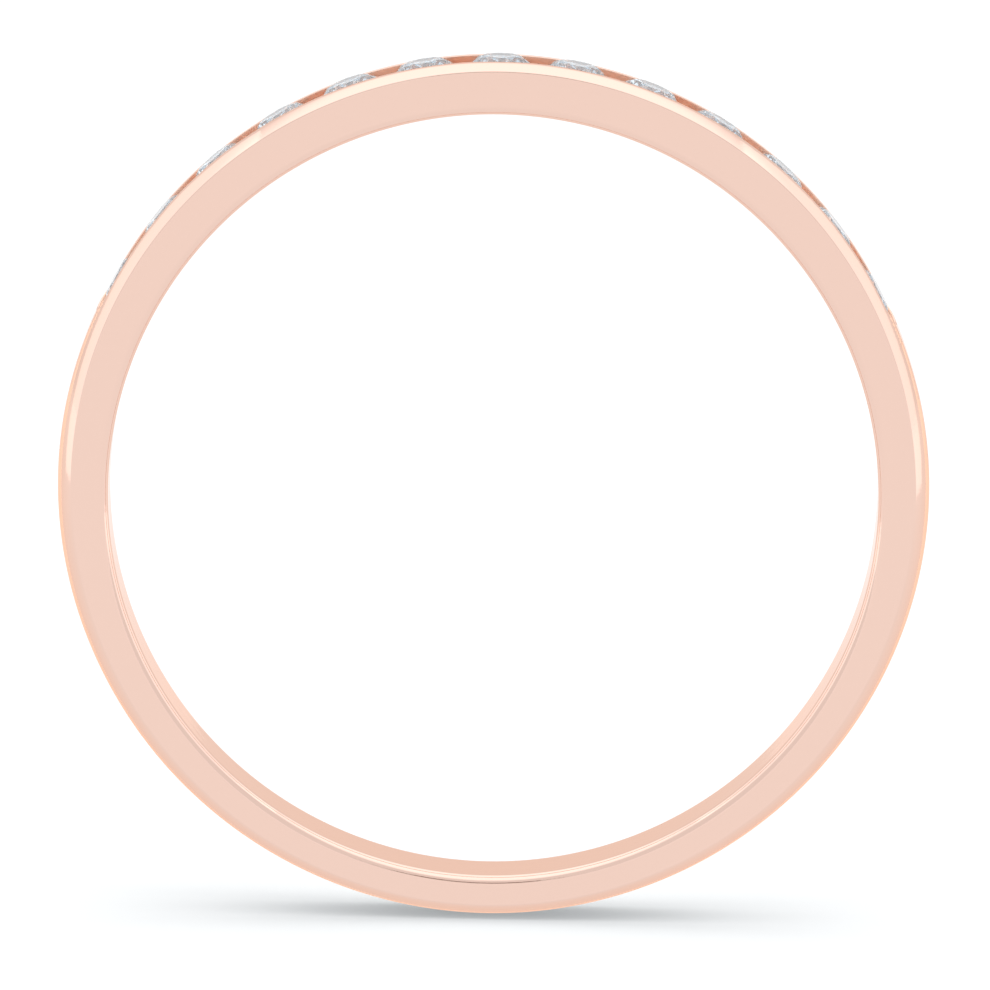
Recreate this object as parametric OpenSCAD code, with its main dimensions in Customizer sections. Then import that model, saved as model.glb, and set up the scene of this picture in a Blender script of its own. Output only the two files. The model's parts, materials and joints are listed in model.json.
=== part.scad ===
// Half-set wedding band: one polished band with a row of round brilliants held
// in a channel between two rails along its top.
// The finger hole runs along Y, its centre is the origin, and +Z is the top of
// the band. All sizes are in millimetres and degrees.

/* [Band] */
// Diameter of the finger hole (17.35 is a US size 7)
finger_d = 17.35; // [14:0.05:22]
// Width of the band along the finger
band_w = 2; // [1.8:0.05:3.5]
// Wall at the top, from the finger hole to the top of the rails
wall_top = 1.17; // [0.95:0.01:1.8]
// Lift of the domed outside, which flattens the rails and thins the bottom by this much
outside_lift = 0.16; // [0.1:0.01:0.25]
// Drop of the domed outside from its crest to the side faces
dome_drop = 0.33; // [0.15:0.01:0.45]
// What polishing takes off the crest of the dome
crest_flat = 0.01; // [0.005:0.005:0.03]
// Radius of the rounded edges of the finger hole
inner_edge_r = 0.2; // [0.1:0.01:0.3]

/* [Channel] */
// Depth of the channel below the top of the rails
channel_depth = 0.4; // [0.3:0.01:0.65]
// Overlap of each rail on the girdles of the stones
rail_lap = 0.06; // [0.03:0.01:0.1]
// Gap from the last stone to the rounded end of the channel
end_gap = 0.22; // [0.1:0.01:0.5]

/* [Stones] */
// Number of stones
stone_count = 13; // [5:2:17]
// Diameter of a stone across its girdle
stone_d = 1.3; // [1.05:0.05:1.6]
// Gap between neighbouring stones, measured along their girdles
stone_gap = 0.43; // [0.2:0.01:0.8]
// Height of the tables above the top of the rails
table_proud = 0.06; // [0:0.01:0.12]
// Width of the table as a percentage of the diameter
table_percent = 64; // [53:1:68]
// Angle of the main crown facets
crown_angle = 34.5; // [30:0.5:37]
// Angle of the main pavilion facets
pavilion_angle = 40.8; // [39:0.1:42]
// Thickness of the girdle
girdle_t = 0.04; // [0.02:0.01:0.08]

/* [Seats] */
// Clearance all round a stone in its seat
seat_gap = 0.01; // [0.005:0.005:0.03]
// Diameter of the pilot hole drilled under each stone
pilot_d = 0.5; // [0.3:0.05:0.7]

/* [Hidden] */
finger_r = finger_d / 2;
outer_r = finger_r + wall_top;
floor_r = outer_r - channel_depth;
// Radius of the dome across the band, from its drop over half the width
dome_r = (pow(band_w / 2, 2) + pow(dome_drop, 2)) / (2 * dome_drop);

stone_r = stone_d / 2;
table_r = stone_r * table_percent / 100;
crown_h = (stone_r - table_r) * tan(crown_angle);
pavilion_h = stone_r * tan(pavilion_angle);
// Heights along a stone's axis, measured from the centre of the finger hole
table_z = outer_r + table_proud;
girdle_top_z = table_z - crown_h;
girdle_base_z = girdle_top_z - girdle_t;
culet_z = girdle_base_z - pavilion_h;

channel_half_w = stone_r - rail_lap;
// The stones lie along the lifted outside, so their angles are counted from its centre.
stone_circle_r = girdle_top_z - outside_lift;
stone_pitch = (stone_d + stone_gap) / stone_circle_r * 180 / PI;
last_stone_angle = stone_pitch * (stone_count - 1) / 2;
// The rounded ends of the channel are centred just past the last stones.
end_centre_angle = atan2(stone_circle_r * sin(last_stone_angle), outside_lift + stone_circle_r * cos(last_stone_angle))
    + (stone_r + end_gap - channel_half_w) / girdle_top_z * 180 / PI;

// Share of the crown covered by the star facets, and of the pavilion by the
// lower girdle facets
star_share = 0.5;
lower_half_share = 0.77;
facet_turn = 22.5;

cut_over = 1;
gold = [0.93, 0.72, 0.62];
crystal = [0.86, 0.91, 0.95];
$fn = 180;

function stone_name(i) = str("stone_", i < 10 ? "0" : "", i);

// Turns a shape made along Z so that it lies along the finger, Y.
module along_finger() {
    rotate([90, 0, 0]) children();
}

// Places a stone, or what is cut for it, at its angle from the top.
module at_stone(i) {
    translate([0, 0, outside_lift]) rotate([0, (i - 1) * stone_pitch - last_stone_angle, 0])
        translate([0, 0, -outside_lift]) children();
}

// The finger hole with its two rounded edges.
module finger_hole() {
    cylinder(r = finger_r, h = band_w + 2 * cut_over, center = true);
    for (side = [0, 1]) mirror([0, 0, side]) rounded_edge_cut();
}

// What rounding one edge of the finger hole takes away.
module rounded_edge_cut() {
    rotate_extrude() difference() {
        translate([finger_r - cut_over, band_w / 2 - inner_edge_r])
            square([inner_edge_r + cut_over, inner_edge_r + cut_over]);
        translate([finger_r + inner_edge_r, band_w / 2 - inner_edge_r])
            circle(r = inner_edge_r);
    }
}

// A solid disc with the domed outside of the shank.
module domed_disc() {
    rotate_extrude() union() {
        translate([0, -band_w / 2]) square([outer_r - dome_r, band_w]);
        intersection() {
            translate([0, -band_w / 2]) square([outer_r + cut_over, band_w]);
            translate([outer_r - dome_r, 0]) circle(r = dome_r);
        }
    }
}

// A plain disc as wide as the band.
module flat_disc(r) {
    along_finger() cylinder(r = r, h = band_w, center = true);
}

// The outside of the shank: a dome lifted towards the top, its crest polished
// flat, and cut flat again along the rails.
module outside() {
    intersection() {
        flat_disc(outer_r);
        translate([0, 0, outside_lift]) flat_disc(outer_r - crest_flat);
        translate([0, 0, outside_lift]) along_finger() domed_disc();
    }
}

// The slot between the rails, rounded at both ends.
module channel() {
    difference() {
        union() {
            channel_sweep();
            for (side = [-1, 1]) rotate([0, side * end_centre_angle, 0])
                cylinder(r = channel_half_w, h = outer_r + cut_over);
        }
        along_finger() cylinder(r = floor_r, h = band_w, center = true);
    }
}

module channel_sweep() {
    rotate([90, 0, 0]) rotate([0, 0, 90 - end_centre_angle])
        rotate_extrude(angle = 2 * end_centre_angle)
            translate([finger_r, -channel_half_w])
                square([wall_top + cut_over, 2 * channel_half_w]);
}

// The burr cut that seats one stone: its girdle, pavilion and crown angles with
// a clearance all round, and the pilot hole under it.
module seat_cut() {
    seat_r = stone_r + seat_gap;
    rotate_extrude() polygon([
        [0, girdle_base_z - seat_gap - seat_r * tan(pavilion_angle)],
        [seat_r, girdle_base_z - seat_gap],
        [seat_r, girdle_top_z + seat_gap],
        [0, girdle_top_z + seat_gap + seat_r * tan(crown_angle)]
    ]);
    translate([0, 0, finger_r - cut_over]) cylinder(d = pilot_d, h = floor_r - finger_r + cut_over);
}

module band() {
    color(gold) difference() {
        outside();
        along_finger() finger_hole();
        channel();
        for (i = [1:stone_count]) at_stone(i) seat_cut();
    }
}

// Points of a round brilliant, ring by ring from the table to the culet.
// A ring is eight or sixteen points at one height.
function ring(count, r, z, turn) =
    [for (k = [0:count - 1]) [r * cos(k * 360 / count + turn), r * sin(k * 360 / count + turn), z]];

// The star points lie on the main crown facets, which run straight from the
// table's corners to the girdle; the lower points lie on the pavilion mains.
star_r = table_r * cos(facet_turn) + star_share * (stone_r - table_r * cos(facet_turn));
star_drop = (star_r * cos(facet_turn) - table_r) / (stone_r - table_r) * crown_h;
lower_r = stone_r * (1 - lower_half_share);
lower_z = culet_z + lower_r * cos(facet_turn) / stone_r * pavilion_h;

stone_points = concat(
    ring(8, table_r, table_z, 0),
    ring(8, star_r, table_z - star_drop, facet_turn),
    ring(16, stone_r, girdle_top_z, 0),
    ring(16, stone_r, girdle_base_z, 0),
    ring(8, lower_r, lower_z, facet_turn),
    [[0, 0, culet_z]]
);
star_at = 8;
girdle_top_at = 16;
girdle_base_at = 32;
lower_at = 48;
culet_at = 56;

// Faces wind clockwise seen from outside the stone.
stone_faces = concat(
    [[for (k = [7:-1:0]) k]],
    [for (k = [0:7]) [k, (k + 1) % 8, star_at + k]],
    [for (k = [0:7]) [k, star_at + k, girdle_top_at + 2 * k, star_at + (k + 7) % 8]],
    [for (k = [0:7]) [star_at + k, girdle_top_at + 2 * k + 1, girdle_top_at + 2 * k]],
    [for (k = [0:7]) [star_at + k, girdle_top_at + (2 * k + 2) % 16, girdle_top_at + 2 * k + 1]],
    [for (j = [0:15]) [girdle_top_at + j, girdle_top_at + (j + 1) % 16,
                       girdle_base_at + (j + 1) % 16, girdle_base_at + j]],
    [for (k = [0:7]) [lower_at + k, girdle_base_at + 2 * k, girdle_base_at + 2 * k + 1]],
    [for (k = [0:7]) [lower_at + k, girdle_base_at + 2 * k + 1, girdle_base_at + (2 * k + 2) % 16]],
    [for (k = [0:7]) [culet_at, lower_at + (k + 7) % 8, girdle_base_at + 2 * k, lower_at + k]]
);

module stone(i) {
    color(crystal) at_stone(i) polyhedron(points = stone_points, faces = stone_faces);
}

band();
for (i = [1:stone_count]) {
    stone(i);
}
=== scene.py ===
"""Looks of the half-set wedding band: polished rose gold and channel-set round brilliants.

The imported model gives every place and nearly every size. The band is rebuilt as one finely
meshed solid with polished edges, and each stone as a round brilliant with a scalloped girdle.
Shapes are made in millimetres and scaled to metres as they become objects.
"""

import json
import math
import random

import bmesh
import bpy
from mathutils import Matrix, Vector


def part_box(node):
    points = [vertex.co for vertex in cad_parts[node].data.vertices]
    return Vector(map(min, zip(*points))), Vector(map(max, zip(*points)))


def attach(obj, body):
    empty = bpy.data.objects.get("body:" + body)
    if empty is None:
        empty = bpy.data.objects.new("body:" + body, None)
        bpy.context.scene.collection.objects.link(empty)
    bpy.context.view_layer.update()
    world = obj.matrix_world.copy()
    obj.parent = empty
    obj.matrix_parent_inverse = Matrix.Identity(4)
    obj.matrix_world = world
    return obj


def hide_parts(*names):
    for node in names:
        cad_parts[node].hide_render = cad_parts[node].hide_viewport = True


MM = 0.001

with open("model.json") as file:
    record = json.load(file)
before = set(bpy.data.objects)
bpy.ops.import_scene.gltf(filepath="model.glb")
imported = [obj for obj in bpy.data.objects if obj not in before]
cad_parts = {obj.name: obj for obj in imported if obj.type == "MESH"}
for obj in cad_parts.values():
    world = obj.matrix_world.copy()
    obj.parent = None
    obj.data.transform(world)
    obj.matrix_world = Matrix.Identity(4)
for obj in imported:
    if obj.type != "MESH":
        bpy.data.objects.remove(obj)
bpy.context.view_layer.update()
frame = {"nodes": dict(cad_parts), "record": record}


# ------------------------------------------------------------ sizes, in millimetres

def node_box(name):
    """Lowest and highest corner of a CAD node, in millimetres."""
    low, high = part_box(name)
    return low / MM, high / MM


def stone_angle(name, centre_z):
    """How far a stone is turned from the top, read from its culet about a centre on the z axis."""
    places = [v.co / MM for v in frame["nodes"][name].data.vertices]
    culet = min(places, key=lambda p: math.hypot(p.x, p.z - centre_z))
    return math.atan2(culet.x, culet.z - centre_z)


FINGER_MOUNT = next(m for m in frame["record"]["mounts"] if m["name"] == "finger_hole")
STONE_NODES = sorted(name for name in frame["nodes"] if name.startswith("stone_"))
band_low, band_high = node_box("band")
stone_low, stone_high = node_box(STONE_NODES[len(STONE_NODES) // 2])

# The band. Its outside is a dome across the band, lifted towards the top and cut by a
# cylinder, which leaves the rails flat.
FINGER_R = FINGER_MOUNT["dims"]["r_mm"]
HALF_W = band_high.y
OUTER_R = band_high.z
CREST_FLAT = 0.01
OUTSIDE_LIFT = OUTER_R - CREST_FLAT + band_low.z
DOME_DROP = 0.33
DOME_R = (HALF_W ** 2 + DOME_DROP ** 2) / (2 * DOME_DROP)

# The stones lie along the lifted outside, so their angles are counted from its centre.
LIFT = Vector((0, 0, OUTSIDE_LIFT))
STONE_ANGLES = [stone_angle(name, OUTSIDE_LIFT) for name in STONE_NODES]

# What polishing leaves: a blended crease along the flat of the rails, and rounded edges.
CREASE_BLEND = 0.02
SIDE_EDGE_R = 0.045
EDGE_PASSES = 4
RAIL_EDGE_R = 0.025
INNER_EDGE_R = 0.2

# The stones.
STONE_R = stone_high.x
TABLE_Z = stone_high.z
CULET_Z = stone_low.z
TABLE_SHARE = 0.64
TABLE_R = TABLE_SHARE * STONE_R
CROWN_ANGLE = math.radians(34.5)
PAVILION_ANGLE = math.radians(40.8)
GIRDLE_TOP_Z = TABLE_Z - (STONE_R - TABLE_R) * math.tan(CROWN_ANGLE)
GIRDLE_BASE_Z = CULET_Z + STONE_R * math.tan(PAVILION_ANGLE)
STAR_SHARE = 0.5
LOWER_HALF_SHARE = 0.77

# The channel, its seats and the pilot holes under them.
RAIL_LAP = 0.06
CHANNEL_DEPTH = 0.4
CHANNEL_HALF_W = STONE_R - RAIL_LAP
FLOOR_R = OUTER_R - CHANNEL_DEPTH
END_GAP = 0.22
STONE_CIRCLE_R = GIRDLE_TOP_Z - OUTSIDE_LIFT
LAST_ANGLE = max(STONE_ANGLES)
LAST_STONE = LIFT + STONE_CIRCLE_R * Vector((math.sin(LAST_ANGLE), 0, math.cos(LAST_ANGLE)))
END_ANGLE = math.atan2(LAST_STONE.x, LAST_STONE.z) + (STONE_R + END_GAP - CHANNEL_HALF_W) / GIRDLE_TOP_Z
CAP_LENGTH = 1.0
CAP_ANGLE = CAP_LENGTH / OUTER_R
SEAT_GAP = 0.01
PILOT_R = 0.25
PILOT_EDGE = 0.03
PILOT_START = FINGER_R - 1

# How finely the band is meshed: sections along each stretch, and points across.
CHANNEL_SECTIONS = 240
CAP_SECTIONS = 10
FAR_SECTIONS = 320
RAIL_STEPS = 9
RAIL_GATHER = 1.3
RAIL_EDGE_STEPS = 6
WALL_STEPS = 3
FLOOR_STEPS = 8
SIDE_EDGE_STEPS = 7
INNER_EDGE_STEPS = 12
BORE_STEPS = 3
EDGE_SUPPORT = 0.012
SEAT_SIDES = 72
SHARP_FROM = math.radians(32)

# How a stone's blank is cut, and which of its faces are its girdle.
BLANK_SIDES = 96
BLANK_MARGIN = 0.1
CUT_WITHIN = 1e-6
FLAT_WITHIN = math.radians(0.05)
GIRDLE_FROM = 0.999 * STONE_R

# Which faces of the band are inside the channel.
NEAR_WALL = 0.002
NEAR_FLOOR = 0.001
BORE_MARGIN = 0.1
UPRIGHT = 0.1


# ------------------------------------------------------------ mesh helpers

def steps(start, end, count):
    """Evenly spaced values from start to end, both included."""
    return [start + (end - start) * k / count for k in range(count + 1)]


def at(theta, radius, y):
    """A point on the band: its angle from the top, its distance from the finger axis, its y."""
    return Vector((radius * math.sin(theta), y, radius * math.cos(theta)))


def bridge(bm, row, next_row):
    """Faces between two rows of vertices. Repeated vertices give triangles."""
    for k in range(len(row) - 1):
        corners = dict.fromkeys((row[k], row[k + 1], next_row[k + 1], next_row[k]))
        bm.faces.new(list(corners))


def finished_mesh(bm, name):
    """The bmesh as a mesh in metres, with normals out."""
    bmesh.ops.recalc_face_normals(bm, faces=bm.faces)
    mesh = bpy.data.meshes.new(name)
    bm.to_mesh(mesh)
    bm.free()
    return mesh


def add_object(name, mesh, materials):
    """A new object in the scene with these materials."""
    piece = bpy.data.objects.new(name, mesh)
    bpy.context.scene.collection.objects.link(piece)
    for material in materials:
        mesh.materials.append(material)
    return piece


# ------------------------------------------------------------ the band

def soft_min(a, b):
    """The smaller of two radii, with the crease between them blended."""
    share = max(CREASE_BLEND - abs(a - b), 0) / CREASE_BLEND
    return min(a, b) - share ** 2 * CREASE_BLEND / 4


def outside_radius(theta, y):
    """Distance from the finger axis to the outside of the band."""
    dome = soft_min(OUTER_R - CREST_FLAT, OUTER_R - DOME_R + math.sqrt(DOME_R ** 2 - y ** 2))
    lifted = OUTSIDE_LIFT * math.cos(theta) + math.sqrt(dome ** 2 - (OUTSIDE_LIFT * math.sin(theta)) ** 2)
    return soft_min(OUTER_R, lifted)


def side_profile(theta):
    """Half of a cross-section, from the end of the dome to the middle of the bore: (radius, y)."""
    end_y = HALF_W
    for _ in range(EDGE_PASSES):
        slope = (outside_radius(theta, end_y - EDGE_SUPPORT) - outside_radius(theta, end_y)) / EDGE_SUPPORT
        tilt = math.atan(slope)
        end_y = HALF_W - SIDE_EDGE_R * (1 - math.sin(tilt))
    edge_radius = outside_radius(theta, end_y) - SIDE_EDGE_R * math.cos(tilt)
    edge = [
        (edge_radius + SIDE_EDGE_R * math.cos(a), HALF_W - SIDE_EDGE_R * (1 - math.sin(a)))
        for a in steps(tilt, math.pi / 2, SIDE_EDGE_STEPS)
    ]
    inner_radius = FINGER_R + INNER_EDGE_R
    face = [
        (edge_radius - EDGE_SUPPORT, HALF_W),
        ((edge_radius + inner_radius) / 2, HALF_W),
        (inner_radius + EDGE_SUPPORT, HALF_W),
    ]
    inner_edge = [
        (inner_radius - INNER_EDGE_R * math.sin(a), HALF_W - INNER_EDGE_R * (1 - math.cos(a)))
        for a in steps(0, math.pi / 2, INNER_EDGE_STEPS)
    ]
    bore = [(FINGER_R, y) for y in steps(HALF_W - INNER_EDGE_R - EDGE_SUPPORT, 0, BORE_STEPS)]
    return edge + face + inner_edge + bore


def side_strip(bm, theta):
    """Vertices of a cross-section from one end of its dome, round the bore, to the other."""
    half = side_profile(theta)
    profile = half + [(radius, -y) for radius, y in reversed(half[:-1])]
    return [bm.verts.new(at(theta, radius, y)) for radius, y in profile]


def outline_place(station, offset, radius):
    """Angle and y of a point at a distance outside the channel's outline.

    A station is (theta, end, turn): the angle of the section or of the end's centre, 0 on the
    straight or the sign of the end, and the direction from the centre line.
    """
    theta, end, turn = station
    reach = CHANNEL_HALF_W + offset
    return theta + math.asin(end * reach * math.cos(turn) / radius), reach * math.sin(turn)


def spoke(bm, station, rim_vertex):
    """Vertices from the floor of the channel, up its wall and across the rail to the dome's end."""
    def surface(offset):
        return outside_radius(*outline_place(station, offset, OUTER_R))

    tilt = math.atan((surface(RAIL_EDGE_R) - surface(2 * RAIL_EDGE_R)) / RAIL_EDGE_R)
    rail_offset = RAIL_EDGE_R * (1 + math.sin(tilt))
    edge_radius = surface(rail_offset) - RAIL_EDGE_R * math.cos(tilt)
    path = [(0, radius) for radius in steps(FLOOR_R, edge_radius - EDGE_SUPPORT, WALL_STEPS)]
    path += [
        (RAIL_EDGE_R * (1 + math.sin(a)), edge_radius + RAIL_EDGE_R * math.cos(a))
        for a in steps(-math.pi / 2, tilt, RAIL_EDGE_STEPS)
    ]
    verts = []
    for offset, radius in path:
        theta, y = outline_place(station, offset, radius)
        verts.append(bm.verts.new(at(theta, radius, y)))
    start = Vector(outline_place(station, rail_offset, OUTER_R))
    rim_theta = math.atan2(rim_vertex.co.x, rim_vertex.co.z)
    end = Vector((start.x + wrapped(rim_theta - start.x), rim_vertex.co.y))
    for share in steps(0, 1, RAIL_STEPS)[1:-1]:
        place = start.lerp(end, share ** RAIL_GATHER)
        verts.append(bm.verts.new(at(place.x, outside_radius(place.x, place.y), place.y)))
    return verts + [rim_vertex]


def wrapped(angle):
    """The same angle between minus and plus half a turn."""
    return (angle + math.pi) % (2 * math.pi) - math.pi


def dome_row(bm, strip, theta, count):
    """Vertices straight across the dome, between the two ends of a cross-section."""
    inner = [
        bm.verts.new(at(theta, outside_radius(theta, y), y))
        for y in steps(strip[0].co.y, strip[-1].co.y, count)[1:-1]
    ]
    return [strip[0]] + inner + [strip[-1]]


def band_blank():
    """The band with its channel, before the seats are cut."""
    bm = bmesh.new()
    straight = steps(-END_ANGLE, END_ANGLE, CHANNEL_SECTIONS)
    cap = steps(0, CAP_ANGLE, CAP_SECTIONS)[1:]
    far_start = END_ANGLE + CAP_ANGLE
    far = steps(far_start, 2 * math.pi - far_start, FAR_SECTIONS)
    angles = straight + [END_ANGLE + a for a in cap] + far[1:-1] + [-END_ANGLE - a for a in reversed(cap)]
    strips = [side_strip(bm, theta) for theta in angles]
    for strip, next_strip in zip(strips, strips[1:] + strips[:1]):
        bridge(bm, strip, next_strip)

    # The plain stretch of the dome, from one end of the channel round to the other.
    first_far = CHANNEL_SECTIONS + CAP_SECTIONS
    rows = [
        dome_row(bm, strips[first_far + k], theta, 2 * CAP_SECTIONS)
        for k, theta in enumerate(far)
    ]
    for row, next_row in zip(rows, rows[1:]):
        bridge(bm, row, next_row)

    # The rails and the ends of the channel, spoke by spoke around its outline.
    def end_spokes(end, first_strip, far_row):
        """Spokes round one end of the channel, from the +y side to the -y side."""
        found = []
        for k in range(1, 4 * CAP_SECTIONS):
            turn = math.pi / 2 * (1 - k / (2 * CAP_SECTIONS))
            if k <= CAP_SECTIONS:
                rim = strips[first_strip + end * k][0]
            elif k < 3 * CAP_SECTIONS:
                rim = far_row[k - CAP_SECTIONS]
            else:
                rim = strips[first_strip + end * (4 * CAP_SECTIONS - k)][-1]
            found.append(spoke(bm, (end * END_ANGLE, end, turn), rim))
        return found

    upper = [spoke(bm, (theta, 0, math.pi / 2), strips[k][0]) for k, theta in enumerate(straight)]
    lower = [spoke(bm, (theta, 0, -math.pi / 2), strips[k][-1]) for k, theta in enumerate(straight)]
    right = end_spokes(1, CHANNEL_SECTIONS, rows[0])
    left = end_spokes(-1, 0, rows[-1])
    ring = upper + right + lower[::-1] + left[::-1]
    for one, following in zip(ring, ring[1:] + ring[:1]):
        bridge(bm, one, following)

    # The floor of the channel, in rows across it. The tip of each end is a single vertex.
    half = 2 * CAP_SECTIONS
    sides = list(zip(left[:half][::-1], left[half - 1:][:half]))
    sides += list(zip(upper, lower))
    sides += list(zip(right[:half], right[half - 1:][::-1][:half]))
    floor_rows = []
    for one, other in sides:
        inner = [
            bm.verts.new(at(math.atan2(one[0].co.x, one[0].co.z), FLOOR_R, y))
            for y in steps(one[0].co.y, other[0].co.y, FLOOR_STEPS)[1:-1]
        ] if one is not other else [one[0]] * (FLOOR_STEPS - 1)
        floor_rows.append([one[0]] + inner + [other[0]])
    for row, next_row in zip(floor_rows, floor_rows[1:]):
        bridge(bm, row, next_row)
    return finished_mesh(bm, "band_blank")


def seat_cutters():
    """One closed solid per stone: its burr-cut seat and the pilot hole under it."""
    seat_r = STONE_R + SEAT_GAP
    seat_floor_z = GIRDLE_BASE_Z - SEAT_GAP - seat_r * math.tan(PAVILION_ANGLE)
    profile = [
        (0, PILOT_START),
        (PILOT_R + PILOT_EDGE, PILOT_START),
        (PILOT_R + PILOT_EDGE, FINGER_R - PILOT_EDGE / 4),
        (PILOT_R, FINGER_R + PILOT_EDGE),
        (PILOT_R, seat_floor_z + PILOT_R * math.tan(PAVILION_ANGLE)),
        (seat_r, GIRDLE_BASE_Z - SEAT_GAP),
        (seat_r, GIRDLE_TOP_Z + SEAT_GAP),
        (0, GIRDLE_TOP_Z + SEAT_GAP + seat_r * math.tan(CROWN_ANGLE)),
    ]
    bm = bmesh.new()
    for angle in STONE_ANGLES:
        place = stone_place(angle)
        first, *rings, last = [ring_of(bm, place, radius, z, SEAT_SIDES) for radius, z in profile]
        for ring, next_ring in zip([first] + rings, rings + [last]):
            bridge(bm, ring + ring[:1], next_ring + next_ring[:1])
    return finished_mesh(bm, "seat_cutters")


def stone_place(angle):
    """Where a stone made along Z goes, in millimetres."""
    return Matrix.Translation(LIFT) @ Matrix.Rotation(angle, 4, "Y") @ Matrix.Translation(-LIFT)


def ring_of(bm, place, radius, z, count):
    """A ring of vertices round a stone's axis, or one vertex repeated where the radius is 0."""
    if radius == 0:
        return [bm.verts.new(place @ Vector((0, 0, z)))] * count
    return [
        bm.verts.new(place @ Vector((radius * math.cos(a), radius * math.sin(a), z)))
        for a in steps(0, 2 * math.pi, count)[:-1]
    ]


def in_channel(face):
    """Whether a face gets the channel's finish, which the polishing wheel doesn't reach, and with it a
    brighter colour that is painted light in the channel.

    The crest of the dome gets it too where it lies lower than the rails, from the ends of the
    channel round the bottom, although the wheel does reach it there.
    """
    radius = math.hypot(face.center.x, face.center.z)
    across = abs(face.center.y)
    outward = (face.normal.x * face.center.x + face.normal.z * face.center.z) / radius
    on_wall = abs(across - CHANNEL_HALF_W) < NEAR_WALL and outward < UPRIGHT
    between = radius < FLOOR_R + NEAR_FLOOR or across < CHANNEL_HALF_W - NEAR_WALL
    below_rails = FINGER_R + BORE_MARGIN < radius < OUTER_R - RAIL_EDGE_R
    return below_rails and across < STONE_R + SEAT_GAP and (on_wall or between)


def band_mesh():
    """The band with its seats cut, smooth except along the edges that tools left."""
    blank = add_object("band_blank", band_blank(), [])
    cutter = add_object("seat_cutters", seat_cutters(), [])
    cut = blank.modifiers.new("seats", "BOOLEAN")
    cut.operation = "DIFFERENCE"
    cut.solver = "EXACT"
    cut.object = cutter
    depsgraph = bpy.context.evaluated_depsgraph_get()
    mesh = bpy.data.meshes.new_from_object(blank.evaluated_get(depsgraph))
    mesh.name = "polished_band"
    for helper in (blank, cutter):
        bpy.data.objects.remove(helper)
    for face in mesh.polygons:
        face.material_index = int(in_channel(face))
    mesh.transform(Matrix.Scale(MM, 4))
    mesh.shade_smooth()
    mesh.set_sharp_from_angle(angle=SHARP_FROM)
    return mesh


# ------------------------------------------------------------ the stones

def polar(radius, turn, z):
    """A point round a stone's axis."""
    return Vector((radius * math.cos(turn), radius * math.sin(turn), z))


def facet_planes():
    """A point and an outward normal for every flat facet of a round brilliant."""
    eighth = math.pi / 4
    star_r = TABLE_R * math.cos(eighth / 2) + STAR_SHARE * (STONE_R - TABLE_R * math.cos(eighth / 2))
    main_run = (star_r * math.cos(eighth / 2) - TABLE_R) / (STONE_R - TABLE_R)
    star_z = TABLE_Z - main_run * (TABLE_Z - GIRDLE_TOP_Z)
    lower_r = STONE_R * (1 - LOWER_HALF_SHARE)
    lower_z = CULET_Z + lower_r * math.cos(eighth / 2) / STONE_R * (GIRDLE_BASE_Z - CULET_Z)
    planes = [(Vector((0, 0, TABLE_Z)), Vector((0, 0, 1)))]

    def add_plane(*corners):
        normal = (corners[1] - corners[0]).cross(corners[2] - corners[0]).normalized()
        inside = Vector((0, 0, (GIRDLE_TOP_Z + GIRDLE_BASE_Z) / 2))
        outward = normal if normal.dot(corners[0] - inside) > 0 else -normal
        planes.append((corners[0], outward))

    for k in range(8):
        turn = k * eighth
        star = polar(star_r, turn + eighth / 2, star_z)
        lower = polar(lower_r, turn + eighth / 2, lower_z)
        side = Vector((-math.sin(turn), math.cos(turn), 0))
        table_corner = polar(TABLE_R, turn, TABLE_Z)
        main_top = polar(STONE_R, turn, GIRDLE_TOP_Z)
        main_base = polar(STONE_R, turn, GIRDLE_BASE_Z)
        add_plane(table_corner, main_top, main_top + side)
        add_plane(Vector((0, 0, CULET_Z)), main_base, main_base + side)
        add_plane(table_corner, polar(TABLE_R, turn + eighth, TABLE_Z), star)
        for half in (turn, turn + eighth):
            middle = turn + eighth / 2
            add_plane(star, polar(STONE_R, half, GIRDLE_TOP_Z), polar(STONE_R, middle, GIRDLE_TOP_Z))
            add_plane(lower, polar(STONE_R, half, GIRDLE_BASE_Z), polar(STONE_R, middle, GIRDLE_BASE_Z))
    return planes


def brilliant_mesh():
    """A round brilliant: a round blank that every facet plane cuts, so its girdle is scalloped."""
    bm = bmesh.new()
    straight = Matrix.Identity(4)
    blank_z = (CULET_Z - BLANK_MARGIN, TABLE_Z + BLANK_MARGIN)
    axis_ends = [ring_of(bm, straight, 0, z, BLANK_SIDES) for z in blank_z]
    rings = [ring_of(bm, straight, STONE_R, z, BLANK_SIDES) for z in blank_z]
    for ring, next_ring in ((axis_ends[0], rings[0]), rings, (rings[1], axis_ends[1])):
        bridge(bm, ring + ring[:1], next_ring + next_ring[:1])
    bmesh.ops.recalc_face_normals(bm, faces=bm.faces)
    for point, normal in facet_planes():
        everything = bm.verts[:] + bm.edges[:] + bm.faces[:]
        cut = bmesh.ops.bisect_plane(
            bm, geom=everything, dist=CUT_WITHIN, plane_co=point, plane_no=normal, clear_outer=True
        )
        rim = [e for e in cut["geom_cut"] if isinstance(e, bmesh.types.BMEdge)]
        bmesh.ops.edgeloop_fill(bm, edges=rim)
    bmesh.ops.dissolve_limit(bm, angle_limit=FLAT_WITHIN, verts=bm.verts, edges=bm.edges)
    for face in bm.faces:
        on_girdle = all(math.hypot(v.co.x, v.co.y) > GIRDLE_FROM for v in face.verts)
        face.material_index = int(on_girdle and abs(face.normal.z) < UPRIGHT)
    mesh = finished_mesh(bm, "brilliant")
    mesh.transform(Matrix.Scale(MM, 4))
    mesh.set_sharp_from_angle(angle=0)
    return mesh


# ------------------------------------------------------------ materials

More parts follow.
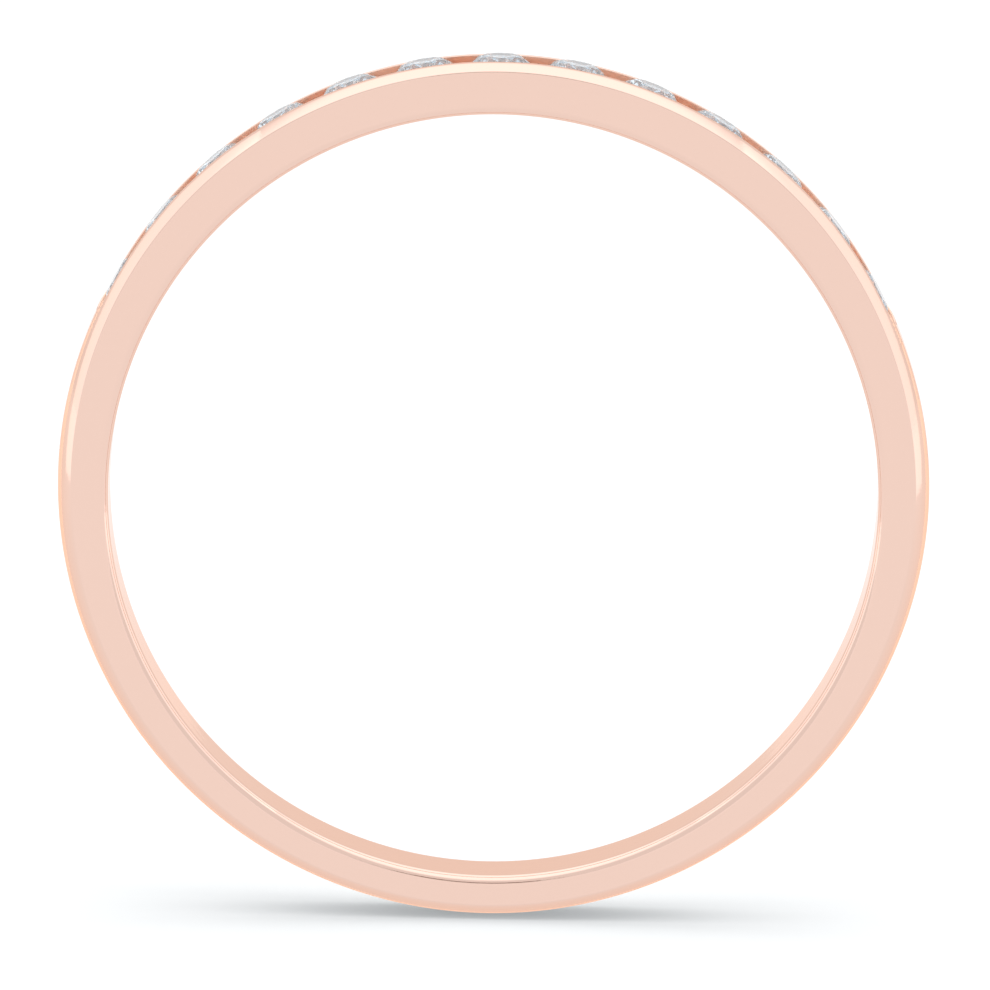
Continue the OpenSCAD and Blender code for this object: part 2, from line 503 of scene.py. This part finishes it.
# Gold has two colours, face on and at a glance. The crystal's body is a little blue, so that
# the gold around it doesn't tint it.
POLISHED = ((0.83, 0.595, 0.505, 1), (0.97, 0.77, 0.665, 1))
# The channel's gold has a rougher finish than the polished gold, which is real. Its brighter, more orange
# colour is painted light that lifts the shade in the channel between the stones.
CUT_GOLD_PAINTED_LIGHT = ((1.0, 0.68, 0.53, 1), (1.0, 0.74, 0.6, 1))
CRYSTAL_BODY = (0.5, 0.64, 0.76, 1)
CRYSTAL_CLEAR = 0.87
GROUND_CRYSTAL = (0.93, 0.95, 0.97, 1)
DIAMOND_IOR = 2.417
ACRYLIC = (0.58, 0.58, 0.58, 1)
ACRYLIC_GLOW = (0.94, 0.98, 1.0, 1)
BLACK = (0, 0, 0, 1)
WARM_GREY = (0.26, 0.18, 0.14, 1)

# The lowest and highest values that noise takes nearly everywhere, and how deep the waves of
# the polishing wheel are, in millimetres.
NOISE_RANGE = (0.3, 0.7)
WAVE_DEPTH = 0.01


def new_material(name):
    """A material with nodes, and its Principled shader."""
    material = bpy.data.materials.new(name)
    material.use_nodes = True
    return material, material.node_tree.nodes["Principled BSDF"]


def noise_into(material, socket, scale, detail, low, high):
    """Noise over the object's own coordinates, spread from low to high, into a shader's socket."""
    nodes = material.node_tree.nodes
    links = material.node_tree.links
    place = nodes.new("ShaderNodeTexCoord")
    noise = nodes.new("ShaderNodeTexNoise")
    noise.inputs["Scale"].default_value = scale
    noise.inputs["Detail"].default_value = detail
    spread = nodes.new("ShaderNodeMapRange")
    spread.inputs["From Min"].default_value = NOISE_RANGE[0]
    spread.inputs["From Max"].default_value = NOISE_RANGE[1]
    spread.inputs["To Min"].default_value = low
    spread.inputs["To Max"].default_value = high
    links.new(place.outputs["Object"], noise.inputs["Vector"])
    links.new(noise.outputs["Fac"], spread.inputs["Value"])
    links.new(spread.outputs["Result"], socket)


def gold_material(name, colours, roughness, bump_strength):
    """Rose gold with uneven roughness and faint waves, coloured face on and at a glance."""
    material, shader = new_material(name)
    face_on, at_a_glance = colours
    smoothest, roughest = roughness
    shader.inputs["Metallic"].default_value = 1.0
    shader.inputs["Base Color"].default_value = face_on
    shader.inputs["Specular Tint"].default_value = at_a_glance
    noise_into(material, shader.inputs["Roughness"], scale=900, detail=4, low=smoothest, high=roughest)
    bump = material.node_tree.nodes.new("ShaderNodeBump")
    bump.inputs["Strength"].default_value = bump_strength
    bump.inputs["Distance"].default_value = WAVE_DEPTH * MM
    noise_into(material, bump.inputs["Height"], scale=2600, detail=3, low=0, high=1)
    material.node_tree.links.new(bump.outputs["Normal"], shader.inputs["Normal"])
    return material


def crystal_material():
    """Polished stone with a little colour of its own."""
    material, shader = new_material("crystal")
    shader.inputs["Base Color"].default_value = CRYSTAL_BODY
    shader.inputs["Transmission Weight"].default_value = CRYSTAL_CLEAR
    shader.inputs["IOR"].default_value = DIAMOND_IOR
    noise_into(material, shader.inputs["Roughness"], scale=1500, detail=2, low=0.0, high=0.012)
    return material


def girdle_material():
    """The same stone where it is ground but not polished, round its girdle."""
    material, shader = new_material("crystal_girdle")
    shader.inputs["Base Color"].default_value = GROUND_CRYSTAL
    shader.inputs["Transmission Weight"].default_value = 1.0
    shader.inputs["IOR"].default_value = DIAMOND_IOR
    noise_into(material, shader.inputs["Roughness"], scale=9000, detail=3, low=0.3, high=0.5)
    return material


def floor_material():
    """A shooting table of white acrylic, lit a little from below."""
    material, shader = new_material("studio_acrylic")
    shader.inputs["Base Color"].default_value = ACRYLIC
    shader.inputs["Emission Color"].default_value = ACRYLIC_GLOW
    shader.inputs["Emission Strength"].default_value = 0.35
    shader.inputs["Specular IOR Level"].default_value = 0.1
    noise_into(material, shader.inputs["Roughness"], scale=400, detail=4, low=0.85, high=0.95)
    return material


def glow_material():
    """A light card as bright as the floor in full light."""
    material, shader = new_material("light_card")
    shader.inputs["Base Color"].default_value = BLACK
    shader.inputs["Emission Strength"].default_value = 1.0
    noise_into(material, shader.inputs["Roughness"], scale=40, detail=2, low=0.8, high=0.9)
    return material


def card_material():
    """What the camera and its stand look like in a mirror, out of focus: a warm grey."""
    material, shader = new_material("camera_grey")
    shader.inputs["Base Color"].default_value = WARM_GREY
    noise_into(material, shader.inputs["Roughness"], scale=50, detail=2, low=0.6, high=0.8)
    return material


# ------------------------------------------------------------ the object

rose_gold = gold_material("rose_gold", POLISHED, roughness=(0.05, 0.11), bump_strength=0.12)
# The channel's material: a real rough finish, with painted light in its brighter colour.
cut_gold_painted_light = gold_material("rose_gold_cut_painted_light", CUT_GOLD_PAINTED_LIGHT, roughness=(0.3, 0.45), bump_strength=0.6)
crystal = crystal_material()
girdle = girdle_material()

band = add_object("polished_band", band_mesh(), [rose_gold, cut_gold_painted_light])
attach(band, "root")
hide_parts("band")

# A setter drops each stone in at any turn, so no two show the same facets.
chance = random.Random(13)
brilliant = brilliant_mesh()
for number, (node_name, angle) in enumerate(zip(STONE_NODES, STONE_ANGLES), start=1):
    stone = add_object(f"brilliant_{number:02d}", brilliant.copy(), [crystal, girdle])
    spin = chance.uniform(0, math.pi / 4)
    turn = stone_place(angle) @ Matrix.Rotation(spin, 4, "Z")
    stone.matrix_world = Matrix.Translation(turn.translation * MM) @ turn.to_3x3().to_4x4()
    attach(stone, "root")
    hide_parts(node_name)
bpy.data.meshes.remove(brilliant)


# ------------------------------------------------------------ floor, light and camera

# Only reflections see the two cards. The light card lies on the floor under the ring, and the
# camera card stands just behind the camera.
FLOOR_Z = band_low.z
FLOOR_HALF = 3000
CARD_GAP = 0.01
LIGHT_CARD_HALF = 400
CAMERA_CARD_BACK = 10
CAMERA_CARD_UP = 10
CAMERA_CARD_HALF = (24, 30)

# The white tent: how bright its walls and roof are, and the heights and depths of a direction
# between which one turns into the other.
TENT_WHITE = (0.99, 0.995, 1.0, 1)
TENT_FRONT = 0.95
TENT_BACK = 1.0
TENT_ROOF = 1.55
WALL_TURN = (-0.5, 0.5)
ROOF_TURN = (0.6, 0.85)

SOFTBOX_PLACE = Vector((60, 0, 20))
SOFTBOX_SIZE = 80
SOFTBOX_RADIANCE = 0.35

CAMERA_DISTANCE = 350
CAMERA_TILT = math.radians(9.4)
CAMERA_AZIMUTH = math.radians(0.4)
CAMERA_ROLL = math.radians(1.0)
SENSOR_WIDTH = 36
FOCAL_LENGTH = 564
FRAMING = Vector((0.034, -0.108))


def rectangle(name, centre, right, up, material):
    """A flat rectangle from its centre and two half-side vectors, in millimetres."""
    bm = bmesh.new()
    corners = [centre - right - up, centre + right - up, centre + right + up, centre - right + up]
    bm.faces.new([bm.verts.new(corner * MM) for corner in corners])
    mesh = bpy.data.meshes.new(name)
    bm.to_mesh(mesh)
    bm.free()
    piece = add_object(name, mesh, [material])
    return piece


def on_floor(name, z, half, material):
    """A level square under the ring."""
    return rectangle(name, Vector((0, 0, z)), Vector((half, 0, 0)), Vector((0, half, 0)), material)


def softbox(name, place):
    """A square area light that faces the ring. Its radiance is what a mirror sees in it."""
    light = bpy.data.lights.new(name, "AREA")
    light.shape = "SQUARE"
    light.size = SOFTBOX_SIZE * MM
    light.energy = SOFTBOX_RADIANCE * math.pi * (SOFTBOX_SIZE * MM) ** 2
    lamp = bpy.data.objects.new(name, light)
    bpy.context.scene.collection.objects.link(lamp)
    lamp.location = place * MM
    lamp.rotation_euler = place.to_track_quat("Z", "Y").to_euler()


def only_reflected(card):
    """Hides a card from every kind of ray but reflections."""
    for kind in ("camera", "diffuse", "transmission", "volume_scatter", "shadow"):
        setattr(card, f"visible_{kind}", False)


def smooth_turn(tree, source, turn, before, after):
    """A smooth step of a value, from one level to another. A level is a number or a socket."""
    node = tree.nodes.new("ShaderNodeMapRange")
    node.interpolation_type = "SMOOTHSTEP"
    node.inputs["From Min"].default_value = turn[0]
    node.inputs["From Max"].default_value = turn[1]
    for name, level in (("To Min", before), ("To Max", after)):
        if isinstance(level, float):
            node.inputs[name].default_value = level
        else:
            tree.links.new(level, node.inputs[name])
    tree.links.new(source, node.inputs["Value"])
    return node.outputs["Result"]


def tent_world():
    """A white tent: brightest overhead, plain behind the ring and a little dimmer in front."""
    world = bpy.data.worlds.new("studio")
    world.use_nodes = True
    tree = world.node_tree
    direction = tree.nodes.new("ShaderNodeTexCoord")
    split = tree.nodes.new("ShaderNodeSeparateXYZ")
    tree.links.new(direction.outputs["Generated"], split.inputs["Vector"])
    walls = smooth_turn(tree, split.outputs["Y"], WALL_TURN, TENT_FRONT, TENT_BACK)
    tent = smooth_turn(tree, split.outputs["Z"], ROOF_TURN, walls, TENT_ROOF)
    background = tree.nodes["Background"]
    background.inputs["Color"].default_value = TENT_WHITE
    tree.links.new(tent, background.inputs["Strength"])
    return world


on_floor("studio_floor", FLOOR_Z - CARD_GAP, FLOOR_HALF, floor_material())

# The polished metal reflects an evenly lit floor, without the ring's own contact shadow.
light_card = on_floor("light_card", FLOOR_Z, LIGHT_CARD_HALF, glow_material())
only_reflected(light_card)

scene = bpy.context.scene
scene.world = tent_world()
softbox("left", Vector((-SOFTBOX_PLACE.x, SOFTBOX_PLACE.y, SOFTBOX_PLACE.z)))
softbox("right", SOFTBOX_PLACE)

# The camera stands in front of the ring and looks slightly down through it.
back = Vector((
    math.sin(CAMERA_AZIMUTH) * math.cos(CAMERA_TILT),
    -math.cos(CAMERA_AZIMUTH) * math.cos(CAMERA_TILT),
    math.sin(CAMERA_TILT),
))
level_right = Vector((math.cos(CAMERA_AZIMUTH), math.sin(CAMERA_AZIMUTH), 0))
level_up = back.cross(level_right)
right = level_right * math.cos(CAMERA_ROLL) + level_up * math.sin(CAMERA_ROLL)
up = back.cross(right)
camera_place = right * FRAMING.x + up * FRAMING.y + back * CAMERA_DISTANCE

camera_data = bpy.data.cameras.new("camera")
camera_data.sensor_width = SENSOR_WIDTH
camera_data.lens = FOCAL_LENGTH
camera_data.clip_start = 0.01
camera_data.clip_end = 10
camera = bpy.data.objects.new("camera", camera_data)
scene.collection.objects.link(camera)
camera.matrix_world = (
    Matrix.Translation(camera_place * MM) @ Matrix((right, up, back)).transposed().to_4x4()
)
bpy.context.scene.camera = camera

# The dark front of the camera shows as a thin line in the polished edges.
camera_card = rectangle(
    "camera_front",
    back * (CAMERA_DISTANCE + CAMERA_CARD_BACK) + Vector((0, 0, CAMERA_CARD_UP)),
    right * CAMERA_CARD_HALF[0],
    up * CAMERA_CARD_HALF[1],
    card_material(),
)
only_reflected(camera_card)

scene.view_settings.view_transform = "Standard"
scene.cycles.max_bounces = 24
scene.cycles.transmission_bounces = 20
scene.cycles.glossy_bounces = 12
scene.cycles.transparent_max_bounces = 8
scene.cycles.caustics_reflective = False
scene.cycles.caustics_refractive = False
